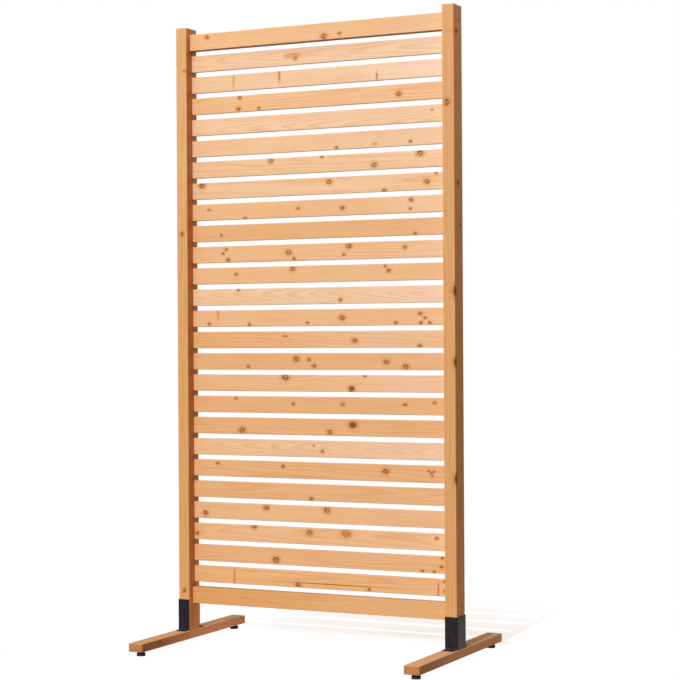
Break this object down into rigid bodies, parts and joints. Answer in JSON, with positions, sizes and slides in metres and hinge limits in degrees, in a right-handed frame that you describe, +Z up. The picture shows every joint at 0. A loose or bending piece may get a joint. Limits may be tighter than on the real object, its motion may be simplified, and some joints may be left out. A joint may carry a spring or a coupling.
{
  "type": "garden privacy screen",
  "caption": "Free-standing slatted larch privacy screen: two posts, evenly spaced thin boards between rails, folded steel brackets on timber feet with levelling glides.",
  "frame": {"origin": "on the floor, midway between the two feet and midway along them", "axes": "+Z up, +X to the right seen from the front, -Y to the front, where the boards are set back in the posts"},
  "size_m": [0.89, 0.59, 1.8],
  "materials": {
    "larch_frame": "oiled, eased edges",
    "larch_slats": "oiled, planed, knotty",
    "larch_feet": "oiled, eased edges",
    "black_steel": "semi-gloss powder coat",
    "black_screws": "black oxide",
    "bronzed_screws": "dark bronzed",
    "black_plastic": "moulded",
    "zinc_steel": "zinc plated"
  },
  "bodies": {
    "screen": {"post_left": "larch_frame", "post_right": "larch_frame", "rail_top": "larch_frame", "rail_bottom": "larch_frame", "slat_01": "larch_slats", "slat_02": "larch_slats", "slat_03": "larch_slats", "slat_04": "larch_slats", "slat_05": "larch_slats", "slat_06": "larch_slats", "slat_07": "larch_slats", "slat_08": "larch_slats", "slat_09": "larch_slats", "slat_10": "larch_slats", "slat_11": "larch_slats", "slat_12": "larch_slats", "slat_13": "larch_slats", "slat_14": "larch_slats", "slat_15": "larch_slats", "slat_16": "larch_slats", "slat_17": "larch_slats", "slat_18": "larch_slats", "slat_19": "larch_slats", "slat_20": "larch_slats", "slat_21": "larch_slats", "slat_22": "larch_slats", "slat_23": "larch_slats", "slat_24": "larch_slats", "slat_25": "larch_slats", "foot_beam_left": "larch_feet", "foot_beam_right": "larch_feet", "bracket_left": "black_steel", "bracket_right": "black_steel", "threaded_inserts": "zinc_steel", "frame_screws_left": "bronzed_screws", "bracket_post_screws_left": "black_screws", "bracket_base_screws_left": "black_screws", "frame_screws_right": "bronzed_screws", "bracket_post_screws_right": "black_screws", "bracket_base_screws_right": "black_screws"},
    "glide_front_left": {"leveller_pad_front_left": "black_plastic"},
    "stud_front_left": {"leveller_stud_front_left": "zinc_steel"},
    "glide_rear_left": {"leveller_pad_rear_left": "black_plastic"},
    "stud_rear_left": {"leveller_stud_rear_left": "zinc_steel"},
    "glide_front_right": {"leveller_pad_front_right": "black_plastic"},
    "stud_front_right": {"leveller_stud_front_right": "zinc_steel"},
    "glide_rear_right": {"leveller_pad_rear_right": "black_plastic"},
    "stud_rear_right": {"leveller_stud_rear_right": "zinc_steel"}
  },
  "joints": [
    {"name": "level_front_left", "type": "slide", "parent": "screen", "child": "glide_front_left", "axis": [0, 0, -1], "range_m": [0, 0.008]},
    {"name": "turn_front_left", "type": "hinge", "parent": "glide_front_left", "child": "stud_front_left", "pos_m": [-0.4225, -0.265, 0], "axis": [0, 0, -1], "range_deg": [0, 2881]},
    {"name": "level_rear_left", "type": "slide", "parent": "screen", "child": "glide_rear_left", "axis": [0, 0, -1], "range_m": [0, 0.008]},
    {"name": "turn_rear_left", "type": "hinge", "parent": "glide_rear_left", "child": "stud_rear_left", "pos_m": [-0.4225, 0.265, 0], "axis": [0, 0, -1], "range_deg": [0, 2881]},
    {"name": "level_front_right", "type": "slide", "parent": "screen", "child": "glide_front_right", "axis": [0, 0, -1], "range_m": [0, 0.008]},
    {"name": "turn_front_right", "type": "hinge", "parent": "glide_front_right", "child": "stud_front_right", "pos_m": [0.4225, -0.265, 0], "axis": [0, 0, -1], "range_deg": [0, 2881]},
    {"name": "level_rear_right", "type": "slide", "parent": "screen", "child": "glide_rear_right", "axis": [0, 0, -1], "range_m": [0, 0.008]},
    {"name": "turn_rear_right", "type": "hinge", "parent": "glide_rear_right", "child": "stud_rear_right", "pos_m": [0.4225, 0.265, 0], "axis": [0, 0, -1], "range_deg": [0, 2881]}
  ],
  "couplings": [
    {"joint": "turn_front_left", "follows": "level_front_left", "rad_per_m": 6283.2},
    {"joint": "turn_rear_left", "follows": "level_rear_left", "rad_per_m": 6283.2},
    {"joint": "turn_front_right", "follows": "level_front_right", "rad_per_m": 6283.2},
    {"joint": "turn_rear_right", "follows": "level_rear_right", "rad_per_m": 6283.2}
  ]
}
